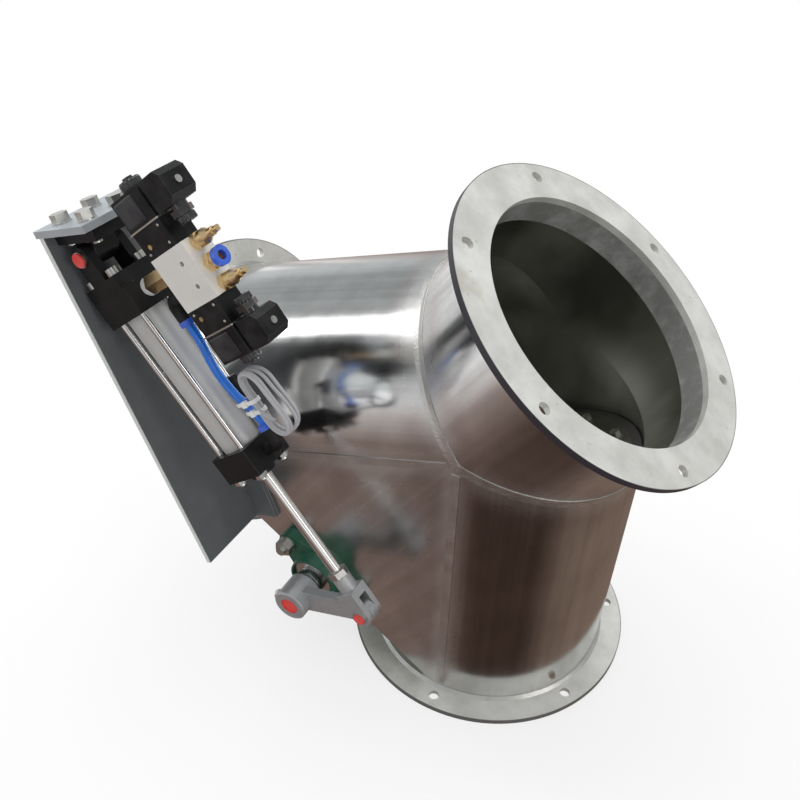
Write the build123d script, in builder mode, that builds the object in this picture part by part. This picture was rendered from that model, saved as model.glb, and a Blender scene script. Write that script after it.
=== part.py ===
from build123d import *
import os
from math import atan2, cos, radians, sin, tan

os.makedirs("parts", exist_ok=True)

# Two-way diverter valve for a bulk duct, in millimetres, standing on its outlet B flange.
# Origin: centre of the outlet B flange face. +Z runs up the outlet B pipe. The flap shaft lies along Y.

# Duct
pipe_d = 273.0
sheet = 3.0
turn = radians(35.6)  # each outlet leaves the inlet line by this angle
inlet_leg = 127.5  # from the crossing point of the pipes to each flange face
outlet_leg = 340.0
flange_rim = 28.5  # flange beyond the pipe
flange_t = 6.0
bore_lip = 6.0  # flange neck inside the sheet
neck_len = 27.0
neck_fit = 0.05
bolt_edge = 15.0  # hole circle inside the flange rim
bolt_hole_d = 11.5
bolt_count = 6
bead_w = 9.0
bead_h = 0.8
flange_bead = 3.5

# Flap and shaft
shaft_d = 20.0
shaft_back = 86.0  # the shaft is nearer to the crossing point than an outlet flange by this
shaft_drop = outlet_leg - shaft_back  # shaft below the crossing point, along the inlet line
press = 0.02
running = 0.05
flap_gap = 1.5
sleeve_wall = 3.5
seal_t = 3.0
carrier_t = 4.0
clamp_t = 3.0
clamp_inset = 10.0
screw_inset = 22.0
flap_screw_d = 6.0

# Flange bearings
housing_half = 45.0
housing_base_t = 12.0
housing_boss_r = 25.5
housing_h = 26.0
race_r = 23.5
race_w = 17.0
ring_r = 15.4
ring_front = 33.0
ring_back = 4.0
stud_d = 10.0

# Lever
lever_r = 87.5
lever_lag = radians(12.6)  # lever behind the flap
lever_t = 10.0
lever_tip_r = 11.5
hub_r = 18.3
hub_len = 32.0
hub_gap = 2.5  # between the bearing ring and the hub
pin_d = 10.0
pin_play = 1.0  # the open pivot of the linkage
slot_run = 9.0

# Rear pivot, measured along outlet A and square to it
pivot_back = 87.4  # short of the outlet A flange face
pivot_along = outlet_leg - pivot_back
pivot_up = 241.8

# Cylinder: 32 mm bore, 12 mm rod, tie rods
cap_w = 48.0
cap_edge = 2.0
rear_cap_len = 25.5
front_cap_len = 27.5
barrel_len = 142.0
cyl_bore = 32.0
barrel_wall = 2.6
rod_d = 12.0
tie_pitch = 32.5
tie_d = 6.0
clevis_plate_t = 11.5
clevis_to_pivot = 35.3
lug_r = 10.0
lug_t = 9.0
tongue_w = 26.0
side_play = 0.35
piston_len = 22.0

# Rod end
fork_w = 22.0
fork_slot = 11.0
fork_len = 47.0
fork_block = 30.0
barrel_end_r = 9.5
thread_d = 10.0
nut_af = 18.0
nut_t = 6.5

# Actuator bracket
web_t = 5.0
web_gap = 17.4  # web face beyond the pivot
web_low = 83.0
web_reach = 33.5  # web and head plate beyond the cylinder centre line
head_t = 6.0
head_reach = 52.0
head_back = 9.0
head_inward = 66.0  # and from that line back to the duct
head_rise = 24.0  # underside of the head plate above the pivot
foot_w = 28.0
scallop_r = 8.0  # clears the weld along the side plate
mount_t = 10.0
mount_bolt_d = 8.0
mount_w = 48.0
mount_inset = 4.0
mount_back = 24.0  # bolt rows from the pivot
mount_ahead = 8.0
mount_pitch = 34.0
mount_hole_fit = 0.4
mount_thread = 2.5  # bolt end below the block
mount_washer_r = 8.0
mount_washer_t = 1.6
mount_head_af = 13.0
mount_head_t = 6.5

# Solenoid valve, set on the rear cap's port
port_at = 46.0
valve_p = 62.0
valve_len = 48.0
valve_high = 44.0
valve_w = 27.0
pilot_len = 23.0
pilot_high = 38.0
plate_t = 1.2
coil_len = 26.0
coil_w = 30.0
plug_high = 28.0
plug_w = 27.0
hose_d = 8.0
hose_wall = 1.2
hose_p = 38.0
hose_end_p = 42.0
cable_d = 3.4

pipe_r = pipe_d / 2
inner_r = pipe_r - sheet
flange_r = pipe_r + flange_rim
bore_r = inner_r - bore_lip
bolt_r = flange_r - bolt_edge
shaft_r = shaft_d / 2
act_offset = pipe_r + ring_front + hub_gap + hub_len / 2  # cylinder centre line from the duct's middle plane
pipe_end = outlet_leg - flange_t
floor_top = pipe_end * cos(turn)
floor_low = floor_top + sheet
half_turn = tan(turn / 2)
far = 3 * pipe_r
up = (Align.CENTER, Align.CENTER, Align.MIN)
down = (Align.CENTER, Align.CENTER, Align.MAX)


def on(base, origin=(0, 0, 0), x_dir=(1, 0, 0), z_dir=(0, 0, 1)):
    """A plane given in the coordinates of another plane."""
    place = base.from_local_coords(Vector(*origin))
    x_way = base.from_local_coords(Vector(*x_dir)) - base.origin
    z_way = base.from_local_coords(Vector(*z_dir)) - base.origin
    return Plane(origin=place, x_dir=x_way, z_dir=z_way)


def side(base, y=0.0):
    """The plane that shows a base's X to the right and its Z up, at a depth along its Y."""
    return on(base, (0, y, 0), z_dir=(0, -1, 0))


def save(builder, name):
    builder.part.label = name
    export_step(builder.part, "parts/" + name + ".step")


def post(plane, radius, length, mode=Mode.ADD):
    with Locations(plane):
        Cylinder(radius, length, align=up, mode=mode)


def hexagon(plane, across_flats, length, mode=Mode.ADD):
    with BuildSketch(plane) as outline:
        RegularPolygon(across_flats / 2, 6, major_radius=False)
    extrude(outline.sketch, amount=length, mode=mode)


def ring(plane, outer, inner, length):
    with BuildSketch(plane) as outline:
        Circle(outer)
        Circle(inner, mode=Mode.SUBTRACT)
    extrude(outline.sketch, amount=length)


def rounded_box(plane, wide, deep, length, round_r):
    with BuildSketch(plane) as outline:
        RectangleRounded(wide, deep, round_r)
    extrude(outline.sketch, amount=length)


def keep(plane, points, reach):
    """Keeps what lies inside an outline drawn in the plane's X and Z."""
    with BuildSketch(side(plane)) as outline:
        Polygon(*points, align=None)
    extrude(outline.sketch, amount=reach, both=True, mode=Mode.INTERSECT)


# Frames. X of each leg points away from the other outlet, and Z runs out through the flange.
crossing = (0, 0, outlet_leg)
duct = Plane(origin=crossing, x_dir=(cos(turn), 0, -sin(turn)), z_dir=(sin(turn), 0, cos(turn)))
duct_back = on(duct, x_dir=(-1, 0, 0))
leg_a = on(duct, x_dir=(-cos(turn), 0, sin(turn)), z_dir=(-sin(turn), 0, -cos(turn)))
leg_b = on(duct, x_dir=(cos(turn), 0, sin(turn)), z_dir=(sin(turn), 0, -cos(turn)))

# Duct sheets: an inlet pipe mitred to two outer half pipes, flat sides between them, and a floor with
# two throats that close the lower half of each outlet
with BuildPart() as inlet_pipe:
    ring(duct, pipe_r, inner_r, inlet_leg - flange_t)
    edge = far * half_turn
    keep(duct, [(0, 0), (far, edge), (far, far), (-far, far), (-far, edge)], pipe_r)
save(inlet_pipe, "inlet_pipe")


def outer_shell(leg):
    with BuildPart() as shell:
        ring(leg, pipe_r, inner_r, pipe_end)
        keep(leg, [(0, 0), (far, far * half_turn), (far, pipe_end), (0, pipe_end)], pipe_r)
    return shell


def throat(leg):
    with BuildPart() as half:
        ring(leg, pipe_r, inner_r, pipe_end)
        start = -sheet / sin(turn)
        rise = (floor_low - far * sin(turn)) / cos(turn)
        keep(leg, [(start, pipe_end), (-far, rise), (-far, pipe_end)], pipe_r)
    return half.part


outlet_shell_a = outer_shell(leg_a)
save(outlet_shell_a, "outlet_shell_a")
outlet_shell_b = outer_shell(leg_b)
save(outlet_shell_b, "outlet_shell_b")

with BuildPart() as outlet_throats:
    add(throat(leg_a))
    add(throat(leg_b))
save(outlet_throats, "outlet_throats")

corner = pipe_end * sin(turn)
floor_half = (pipe_end - floor_low * cos(turn)) / sin(turn)


def side_plate(y):
    with BuildPart() as plate:
        with BuildSketch(side(duct, y)):
            Polygon(
                (0, 0),
                (-corner, -floor_top),
                (-floor_half, -floor_low),
                (floor_half, -floor_low),
                (corner, -floor_top),
                align=None,
            )
            with Locations((0, -shaft_drop)):
                Circle(shaft_r + 1, mode=Mode.SUBTRACT)
        extrude(amount=sheet)
    return plate.part


with BuildPart() as side_plates:
    add(side_plate(-inner_r))
    add(side_plate(pipe_r))
save(side_plates, "side_plates")

with BuildPart() as floor_plate:
    with BuildSketch(on(duct, (0, 0, -floor_low))):
        Rectangle(2 * floor_half, 2 * inner_r)
    extrude(amount=sheet)
    for leg in (leg_a, leg_b):
        post(leg, inner_r, outlet_leg, Mode.SUBTRACT)
save(floor_plate, "floor_plate")


def flange(leg, length):
    """A rolled ring flange whose neck slips into the pipe."""
    with BuildPart() as ring_flange:
        ring(on(leg, (0, 0, length - flange_t)), flange_r, bore_r, flange_t)
        ring(on(leg, (0, 0, length - flange_t - neck_len)), inner_r - neck_fit, bore_r, neck_len)
        with BuildSketch(on(leg, (0, 0, length - flange_t))):
            with PolarLocations(bolt_r, bolt_count, start_angle=90):
                Circle(bolt_hole_d / 2)
        extrude(amount=flange_t, mode=Mode.SUBTRACT)
    return ring_flange


inlet_flange = flange(duct, inlet_leg)
save(inlet_flange, "inlet_flange")
outlet_flange_a = flange(leg_a, outlet_leg)
save(outlet_flange_a, "outlet_flange_a")
outlet_flange_b = flange(leg_b, outlet_leg)
save(outlet_flange_b, "outlet_flange_b")


def mitre_bead(plane):
    """Half of the bead over a mitre: the strip of raised pipe wall beside the mitre plane."""
    rise = bead_w / 2 / cos(turn / 2)
    with BuildPart() as bead:
        ring(plane, pipe_r + bead_h, pipe_r, pipe_r)
        keep(plane, [(0, 0), (far, far * half_turn), (far, far * half_turn + rise), (0, rise)], far)
    return bead.part


def flange_weld(plane, length):
    with BuildPart() as weld:
        with BuildSketch(side(plane)):
            Polygon(
                (pipe_r, length - flange_bead),
                (pipe_r + flange_bead, length),
                (pipe_r, length),
                align=None,
            )
        revolve(axis=Axis(plane.origin, plane.z_dir))
    return weld.part


with BuildPart() as weld_seams:
    for plane in (duct, leg_b, duct_back, leg_a):
        add(mitre_bead(plane))
    strip = pipe_end - flange_bead - bead_w - 1
    for leg in (leg_a, leg_b):
        for y in (-1, 1):
            with Locations(on(leg, (0, y * (pipe_r + bead_h / 2), bead_w))):
                Box(bead_w, bead_h, strip, align=up)
    add(flange_weld(duct, inlet_leg - flange_t))
    add(flange_weld(leg_a, pipe_end))
    add(flange_weld(leg_b, pipe_end))
    add(side_plates.part, mode=Mode.SUBTRACT)
save(weld_seams, "weld_seams")

# Shaft frames: Z points out of the duct, at the front towards the lever and at the back away from it
shaft_at = on(duct, (0, 0, -shaft_drop))
front = side(shaft_at)
back = on(shaft_at, x_dir=(-1, 0, 0), z_dir=(0, 1, 0))

# Flange bearings: rhombic housings with an insert, on studs welded to the side plates
with BuildPart() as bearing_housings:
    for face in (front, back):
        seat = on(face, (0, 0, pipe_r))
        with BuildSketch(seat):
            Circle(housing_boss_r + 4)
            with Locations((housing_half, 0), (-housing_half, 0)):
                Circle(stud_d + 1.5)
            make_hull()
        extrude(amount=housing_base_t)
        with Locations(on(seat, (0, 0, housing_base_t))):
            Cone(housing_boss_r + 3, housing_boss_r, housing_h - housing_base_t, align=up)
        for x in (-1, 1):
            post(on(seat, (x * housing_half, 0, 0)), stud_d + 0.5, housing_base_t + 1.5)
            post(on(seat, (x * housing_half, 0, 0)), stud_d / 2 + 0.8, housing_h, Mode.SUBTRACT)
        post(seat, race_r + press, housing_h, Mode.SUBTRACT)
save(bearing_housings, "bearing_housings")

with BuildPart() as bearing_races:
    for face in (front, back):
        start = pipe_r + (housing_h - race_w) / 2 + 1
        ring(on(face, (0, 0, start)), race_r, ring_r + 0.4, race_w)
save(bearing_races, "bearing_races")

with BuildPart() as bearing_studs:
    for face in (front, back):
        for x in (-1, 1):
            foot = on(face, (x * housing_half, 0, pipe_r))
            seat = on(foot, (0, 0, housing_base_t + 1.5))
            post(foot, stud_d / 2, housing_base_t + 16)
            post(seat, stud_d, 1.8)
            hexagon(on(seat, (0, 0, 1.8)), 17, 8)
save(bearing_studs, "bearing_studs")

# Flap. It seats where its tip meets the mitre, and its edge follows the outlet pipe.
seat_turn = atan2(inner_r, shaft_drop + inner_r * half_turn)
flap = on(shaft_at, x_dir=(cos(seat_turn), 0, -sin(seat_turn)), z_dir=(sin(seat_turn), 0, cos(seat_turn)))
blade = on(flap, x_dir=(0, 0, 1), z_dir=(1, 0, 0))
slant = sin(seat_turn + turn)
bend_at = shaft_drop * sin(turn) / slant
tip_reach = inner_r / slant
sleeve_r = shaft_r + sleeve_wall
blade_w = inner_r - flap_gap


def flap_sheet(start, thickness, inset):
    """One layer of the flap: straight beside the flat sides, then half an ellipse in the round pipe."""
    with BuildSketch(on(blade, (0, 0, start))) as outline:
        with Locations((bend_at, 0)):
            Ellipse(tip_reach - flap_gap - inset, blade_w - inset)
            Rectangle(tip_reach, 2 * blade_w, align=(Align.MAX, Align.CENTER), mode=Mode.SUBTRACT)
            Rectangle(bend_at, 2 * (blade_w - inset), align=(Align.MAX, Align.CENTER))
    extrude(outline.sketch, amount=thickness)


def flap_screws_at(inset):
    """Screw places along the straight sides and round the tip."""
    width = blade_w - inset
    reach = tip_reach - flap_gap - inset
    places = [(bend_at * share, s * width) for share in (0.25, 0.62, 0.98) for s in (-1, 1)]
    for turn_at in (-60, -30, 0, 30, 60):
        along = bend_at + reach * cos(radians(turn_at))
        places.append((along, width * sin(radians(turn_at))))
    return places


with BuildPart() as flap_carrier:
    flap_sheet(seal_t / 2, carrier_t, clamp_inset)
    with Locations(on(front, (0, 0, -blade_w))):
        Cylinder(sleeve_r, 2 * blade_w, align=up)
        Cylinder(shaft_r + press, 2 * blade_w, align=up, mode=Mode.SUBTRACT)
    for place in flap_screws_at(screw_inset):
        post(on(blade, (*place, 0)), flap_screw_d / 2 + 0.2, 3 * carrier_t, Mode.SUBTRACT)
save(flap_carrier, "flap_carrier")

with BuildPart() as flap_seal:
    flap_sheet(-seal_t / 2, seal_t, 0)
    post(on(front, (0, 0, -pipe_r)), sleeve_r + press, pipe_d, Mode.SUBTRACT)
    for place in flap_screws_at(screw_inset):
        post(on(blade, (*place, -seal_t)), flap_screw_d / 2 + 0.2, 2 * seal_t, Mode.SUBTRACT)
save(flap_seal, "flap_seal")

with BuildPart() as flap_clamp:
    flap_sheet(-seal_t / 2 - clamp_t, clamp_t, clamp_inset)
    post(on(front, (0, 0, -pipe_r)), sleeve_r + press, pipe_d, Mode.SUBTRACT)
    for place in flap_screws_at(screw_inset):
        post(on(blade, (*place, -3 * clamp_t)), flap_screw_d / 2 + 0.2, 4 * clamp_t, Mode.SUBTRACT)
save(flap_clamp, "flap_clamp")

with BuildPart() as flap_screws:
    grip = carrier_t + seal_t + clamp_t
    for place in flap_screws_at(screw_inset):
        under = on(blade, (*place, -seal_t / 2 - clamp_t))
        post(under, flap_screw_d / 2, grip)
        hexagon(on(under, (0, 0, grip)), 10, 4)
        hexagon(on(under, (0, 0, -4.5)), 10, 4.5)
save(flap_screws, "flap_screws")

hub_end = act_offset + hub_len / 2
cap_t = 1.8
back_end = pipe_r + ring_front + 2
with BuildPart() as shaft:
    post(on(front, (0, 0, -back_end)), shaft_r, back_end + hub_end - cap_t)
save(shaft, "shaft")

with BuildPart() as bearing_rings:
    for face in (front, back):
        ring(on(face, (0, 0, pipe_r + ring_back)), ring_r, shaft_r + press, ring_front - ring_back)
save(bearing_rings, "bearing_rings")

# Lever: its outer end carries the open pivot, a slot that lets the pin slide along the arm
lever = on(
    front,
    x_dir=(sin(seat_turn + lever_lag), cos(seat_turn + lever_lag), 0),
)
screw_at = hub_end - 13
with BuildPart() as lever_arm:
    with Locations(on(lever, (0, 0, hub_end - hub_len))):
        Cylinder(hub_r, hub_len, align=up)
    chamfer(lever_arm.edges().filter_by(GeomType.CIRCLE), 1.2)
    with BuildSketch(on(lever, (0, 0, act_offset - lever_t / 2))):
        Circle(13)
        with Locations((lever_r, 0)):
            Circle(lever_tip_r)
        make_hull()
    extrude(amount=lever_t)
    with BuildSketch(on(lever, (lever_r - slot_run / 2, 0, act_offset - lever_t))):
        SlotCenterToCenter(slot_run, pin_d + 2 * pin_play)
    extrude(amount=2 * lever_t, mode=Mode.SUBTRACT)
    post(on(lever, (0, 0, hub_end - hub_len)), shaft_r + press, hub_len, Mode.SUBTRACT)
    post(on(lever, (0, 0, screw_at), x_dir=(0, 1, 0), z_dir=(-1, 0, 0)), 3 + press, 2 * hub_r, Mode.SUBTRACT)
save(lever_arm, "lever_arm")

with BuildPart() as hub_screw:
    radial = on(lever, (0, 0, screw_at), x_dir=(0, 1, 0), z_dir=(-1, 0, 0))
    post(on(radial, (0, 0, shaft_r)), 3, 11)
    hexagon(on(radial, (0, 0, hub_r + 2)), 10, 5)
save(hub_screw, "hub_screw")

with BuildPart() as shaft_cap:
    post(on(front, (0, 0, hub_end - cap_t)), shaft_r - 0.6, cap_t)
save(shaft_cap, "shaft_cap")

# Actuator frame: Z runs from the rear pivot to the rod's pin, X away from outlet A, Y out to the front
pivot_point = leg_a.from_local_coords(Vector(pivot_up, -act_offset, pivot_along))
pin_point = lever.from_local_coords(Vector(lever_r, 0, act_offset))
reach = (pin_point - pivot_point).length
act_way = (pin_point - pivot_point).normalized()
act = Plane(origin=pivot_point, x_dir=act_way.cross(Vector(0, 1, 0)), z_dir=act_way)
cap_half = cap_w / 2
rear_face = clevis_to_pivot
barrel_start = rear_face + rear_cap_len
barrel_stop = barrel_start + barrel_len
front_face = barrel_stop + front_cap_len
tie_half = tie_pitch / 2
corners = [(x * tie_half, y * tie_half) for x in (-1, 1) for y in (-1, 1)]
front_port = barrel_stop + front_cap_len / 2


def p_port(along, radius, depth):
    """A hole into the cap's face that looks away from outlet A."""
    mouth = on(act, (cap_half - depth, 0, along), x_dir=(0, 1, 0), z_dir=(1, 0, 0))
    post(mouth, radius, depth + 1, Mode.SUBTRACT)


def cap_body(start, length):
    rounded_box(on(act, (0, 0, start)), cap_w, cap_w, length, cap_edge)
    for spot in corners:
        post(on(act, (*spot, start - 1)), tie_d / 2 + running, length + 2, Mode.SUBTRACT)


with BuildPart() as rear_cap:
    cap_body(rear_face, rear_cap_len)
    post(on(act, (0, 0, barrel_start - 8)), cyl_bore / 2, 9, Mode.SUBTRACT)
    p_port(port_at, 6.5, 12)
save(rear_cap, "rear_cap")

gland_len = 7.0
with BuildPart() as front_cap:
    cap_body(barrel_stop, front_cap_len)
    post(on(act, (0, 0, front_face)), 13, gland_len)
    post(on(act, (0, 0, barrel_stop - 1)), cyl_bore / 2, 9, Mode.SUBTRACT)
    post(on(act, (0, 0, barrel_stop)), rod_d / 2 + running, front_cap_len + gland_len, Mode.SUBTRACT)
    p_port(front_port, 5 + press, 10)
save(front_cap, "front_cap")

with BuildPart() as barrel:
    ring(on(act, (0, 0, barrel_start)), cyl_bore / 2 + barrel_wall, cyl_bore / 2, barrel_len)
save(barrel, "barrel")

with BuildPart() as tie_rods:
    for spot in corners:
        post(on(act, (*spot, rear_face)), tie_d / 2, front_face - rear_face + 7)
        hexagon(on(act, (*spot, front_face)), 10, 5)
save(tie_rods, "tie_rods")

# Rear clevis on the cap, with a pin through the bracket's tongue
lug_in = tongue_w / 2 + side_play
with BuildPart() as rear_clevis:
    with Locations(on(act, (0, 0, rear_face - clevis_plate_t))):
        Box(cap_w - 2, cap_w - 2, clevis_plate_t, align=up)
    for y in (lug_in, -lug_in - lug_t):
        with BuildSketch(side(act, y + lug_t)):
            Circle(lug_r)
            with Locations((0, 0)):
                Rectangle(2 * lug_r, rear_face - clevis_plate_t, align=(Align.CENTER, Align.MIN))
        extrude(amount=lug_t)
    post(side(act, cap_w), pin_d / 2 + press, 2 * cap_w, Mode.SUBTRACT)
    for spot in corners:
        post(on(act, (*spot, rear_face - clevis_plate_t)), 3.2, clevis_plate_t, Mode.SUBTRACT)
save(rear_clevis, "rear_clevis")

with BuildPart() as clevis_bolts:
    for spot in corners:
        head = on(act, (*spot, rear_face - clevis_plate_t - 6))
        post(head, 5, 6)
        hexagon(head, 5, 3, Mode.SUBTRACT)
        post(on(act, (*spot, rear_face - clevis_plate_t)), 3, clevis_plate_t)
save(clevis_bolts, "clevis_bolts")

pin_out = lug_in + lug_t + 2
pivot_out = side(act, pin_out)
with BuildPart() as pivot_pin:
    post(pivot_out, pin_d / 2, 2 * pin_out)
    ring(side(act, pin_out - 0.1), pin_d / 2 + 1.8, pin_d / 2, 1.8)
    ring(side(act, 1.9 - pin_out), pin_d / 2 + 1.8, pin_d / 2, 1.8)
save(pivot_pin, "pivot_pin")

pin_cap_lip = 1.2
with BuildPart() as pivot_pin_cap:
    post(on(act, (0, pin_out, 0), x_dir=(-1, 0, 0), z_dir=(0, 1, 0)), pin_d / 2 + pin_cap_lip, 1.6)
save(pivot_pin_cap, "pivot_pin_cap")

# Bracket: a web square to outlet A, with a foot on the side plate and a head plate for the pivot block
web_face = pivot_along + web_gap
web_out = act_offset + web_reach
head_in = act_offset - head_inward
head_low = pivot_up + head_rise
with BuildPart() as bracket_web:
    with BuildSketch(on(leg_a, (0, 0, web_face))):
        wide = web_out - head_in
        with Locations((-web_low, -web_out)):
            Rectangle(web_low + head_low, wide, align=(Align.MIN, Align.MIN))
        Circle(pipe_r, mode=Mode.SUBTRACT)
        with Locations((-web_low, -pipe_r)):
            Rectangle(web_low, pipe_r - head_in, align=(Align.MIN, Align.MIN), mode=Mode.SUBTRACT)
        with Locations((0, -pipe_r)):
            Circle(scallop_r, mode=Mode.SUBTRACT)
    extrude(amount=web_t)
    with BuildSketch(on(leg_a, (0, -pipe_r, web_face), z_dir=(0, -1, 0))):
        with Locations((-web_low, 0)):
            Rectangle(web_low - scallop_r, foot_w, align=(Align.MIN, Align.MAX))
    extrude(amount=web_t)
save(bracket_web, "bracket_web")

head_stop = web_face + head_back
bolt_rows = (pivot_along - mount_back, pivot_along + mount_ahead)
bolt_spots = [(along, s * mount_pitch / 2 - act_offset) for along in bolt_rows for s in (-1, 1)]
with BuildPart() as bracket_head:
    with BuildSketch(on(leg_a, (head_low, 0, 0), x_dir=(0, 0, 1), z_dir=(1, 0, 0))):
        with Locations((head_stop, web_out)):
            Rectangle(head_reach + head_back, web_out - head_in, align=(Align.MAX, Align.MAX))
        with Locations(*[(along, -y) for along, y in bolt_spots]):
            Circle(mount_bolt_d / 2 + mount_hole_fit, mode=Mode.SUBTRACT)
    extrude(amount=head_t)
save(bracket_head, "bracket_head")

block_low = head_low - mount_t
with BuildPart() as pivot_block:
    with Locations(on(leg_a, (block_low, -act_offset, web_face - 1))):
        Box(mount_t, mount_w, head_reach - mount_inset, align=(Align.MIN, Align.CENTER, Align.MAX))
    with BuildSketch(on(leg_a, (0, -act_offset - tongue_w / 2, 0), x_dir=(1, 0, 0), z_dir=(0, 1, 0))):
        with Locations((pivot_up, -pivot_along)):
            Circle(lug_r)
            Rectangle(head_rise - mount_t, 2 * lug_r, align=(Align.MIN, Align.CENTER))
    extrude(amount=tongue_w)
    tongue_side = on(leg_a, (pivot_up, -act_offset - tongue_w, pivot_along), z_dir=(0, 1, 0))
    post(tongue_side, pin_d / 2 + running, 2 * tongue_w, Mode.SUBTRACT)
    for along, y in bolt_spots:
        hole = on(leg_a, (block_low - 1, y, along), x_dir=(0, 0, 1), z_dir=(1, 0, 0))
        post(hole, mount_bolt_d / 2 + mount_hole_fit, mount_t + 2, Mode.SUBTRACT)
save(pivot_block, "pivot_block")

with BuildPart() as mount_bolts:
    grip = mount_t + head_t
    for along, y in bolt_spots:
        root = on(leg_a, (block_low, y, along), x_dir=(0, 0, 1), z_dir=(1, 0, 0))
        post(on(root, (0, 0, -mount_thread)), mount_bolt_d / 2, grip + mount_thread)
        post(on(root, (0, 0, grip)), mount_washer_r, mount_washer_t)
        hexagon(on(root, (0, 0, grip + mount_washer_t)), mount_head_af, mount_head_t)
save(mount_bolts, "mount_bolts")

# Rod, lock nut and fork
fork_back = reach - fork_len
nut_start = fork_back - nut_t - 0.3
with BuildPart() as piston_rod:
    piston_stop = barrel_stop - 3
    post(on(act, (0, 0, piston_stop - piston_len)), cyl_bore / 2 - running, piston_len)
    post(on(act, (0, 0, piston_stop)), rod_d / 2, nut_start - 1 - piston_stop)
    post(on(act, (0, 0, nut_start - 1)), thread_d / 2, reach - fork_block + 6 - nut_start)
save(piston_rod, "piston_rod")

with BuildPart() as lock_nut:
    hexagon(on(act, (0, 0, nut_start)), nut_af, nut_t)
    post(on(act, (0, 0, nut_start)), thread_d / 2 + press, nut_t, Mode.SUBTRACT)
save(lock_nut, "lock_nut")

eye = on(act, (0, 0, reach))
fork_half = fork_w / 2
with BuildPart() as rod_clevis:
    with BuildSketch(side(eye, fork_half)):
        Circle(fork_half)
        Rectangle(fork_w, fork_block, align=(Align.CENTER, Align.MAX))
    extrude(amount=fork_w)
    post(on(act, (0, 0, fork_back)), barrel_end_r, fork_len - fork_block + 2)
    with Locations(on(eye, (0, 0, 9 - fork_block))):
        Box(2 * fork_w, fork_slot, fork_block + fork_w, align=up, mode=Mode.SUBTRACT)
    post(on(act, (0, 0, fork_back)), thread_d / 2 + press, fork_len - fork_block + 10, Mode.SUBTRACT)
    post(side(eye, fork_w), pin_d / 2 + press, 2 * fork_w, Mode.SUBTRACT)
save(rod_clevis, "rod_clevis")

pin_head_t = 2.2
pin_lip = 2.2
clip_t = 1.6
clip_gap = 0.2
with BuildPart() as clevis_pin:
    post(side(eye, fork_half + pin_head_t), pin_d / 2 + pin_lip, pin_head_t)
    post(side(eye, fork_half), pin_d / 2, fork_w + clip_gap + 2 * clip_t)
    ring(side(eye, -fork_half - clip_gap), pin_d / 2 + pin_lip, pin_d / 2, clip_t)
save(clevis_pin, "clevis_pin")

with BuildPart() as clevis_pin_cap:
    crown = on(eye, (0, fork_half + pin_head_t, 0), x_dir=(-1, 0, 0), z_dir=(0, 1, 0))
    post(crown, pin_d / 2 + pin_cap_lip, 1)
save(clevis_pin_cap, "clevis_pin_cap")

# Solenoid valve: two pilots and coils on one block, carried by the nipple in the rear cap
port_pitch = 20.0
valve_mid = port_at + port_pitch / 2
valve_top = valve_p + valve_high
port_r = 5.0
port_depth = 8.0
exhaust_pitch = 18.0
fixing_pitch = 20.0
fixing_r = 2.2
fixing_drop = 14.0
nipple_r = 6.4  # in the rear cap's larger port
nipple_af = 16.0


def valve_face(p, along, way):
    """A plane on the valve that looks along the actuator's X, away from the cylinder or back to it."""
    return on(act, (p, 0, along), x_dir=(0, 1, 0), z_dir=(way, 0, 0))


tape_len = 5.0
tape_wrap = 1.8
hex_len = valve_p - cap_half - 2 * tape_len - 2
with BuildPart() as port_nipple:
    post(valve_face(cap_half - 10, port_at, 1), nipple_r, 10 + tape_len + 2)
    post(valve_face(valve_p + port_depth, port_at, -1), port_r - press, port_depth + tape_len + 4)
    hexagon(valve_face(cap_half + tape_len + 1, port_at, 1), nipple_af, hex_len)
save(port_nipple, "port_nipple")

with BuildPart() as seal_tape:
    ring(valve_face(cap_half, port_at, 1), nipple_r + tape_wrap, nipple_r, tape_len)
    ring(valve_face(valve_p, port_at, -1), port_r + tape_wrap, port_r - press, tape_len)
save(seal_tape, "seal_tape")

with BuildPart() as valve_block:
    with Locations(on(act, (valve_p, 0, valve_mid))):
        Box(valve_high, valve_w, valve_len, align=(Align.MIN, Align.CENTER, Align.CENTER))
    for along in (port_at, port_at + port_pitch):
        post(valve_face(valve_p - 1, along, 1), port_r, port_depth + 4, Mode.SUBTRACT)
    for offset in (-exhaust_pitch, 0, exhaust_pitch):
        post(valve_face(valve_top + 1, valve_mid + offset, -1), port_r, port_depth + 1, Mode.SUBTRACT)
    for offset in (-fixing_pitch / 2, fixing_pitch / 2):
        fixing = side(on(act, (valve_top - fixing_drop, 0, valve_mid + offset)), valve_w)
        post(fixing, fixing_r, 2 * valve_w, Mode.SUBTRACT)
save(valve_block, "valve_block")


def valve_end(way, extra=0.0):
    """The plane on one end of the valve block, Z pointing out of it."""
    return on(act, (valve_p, 0, valve_mid + way * (valve_len / 2 + extra)), z_dir=(0, 0, way))


coil_mid = valve_len / 2 + pilot_len + plate_t + coil_len / 2  # from the valve's middle


button_r = 2.0
button_len = 5.0
button_out = 1.0
button_travel = 2.0
button_at = 9.0
button_p = 11.0
with BuildPart() as pilot_blocks:
    for way in (-1, 1):
        middle = on(valve_end(way), (pilot_high / 2, 0, 0))
        rounded_box(middle, pilot_high, valve_w, pilot_len, 1)
        depth = button_len - button_out + button_travel
        hole = on(valve_end(way), (button_p, way * (valve_w / 2 - depth), button_at), z_dir=(0, way, 0))
        post(hole, button_r + running, depth + 1, Mode.SUBTRACT)
save(pilot_blocks, "pilot_blocks")


def override(way):
    """The manual override button in a pilot's front face."""
    with BuildPart() as button:
        foot = valve_w / 2 + button_out - button_len
        post(on(valve_end(way), (button_p, way * foot, button_at), z_dir=(0, way, 0)), button_r, button_len)
    return button


override_rear = override(-1)
save(override_rear, "override_rear")
override_front = override(1)
save(override_front, "override_front")

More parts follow.
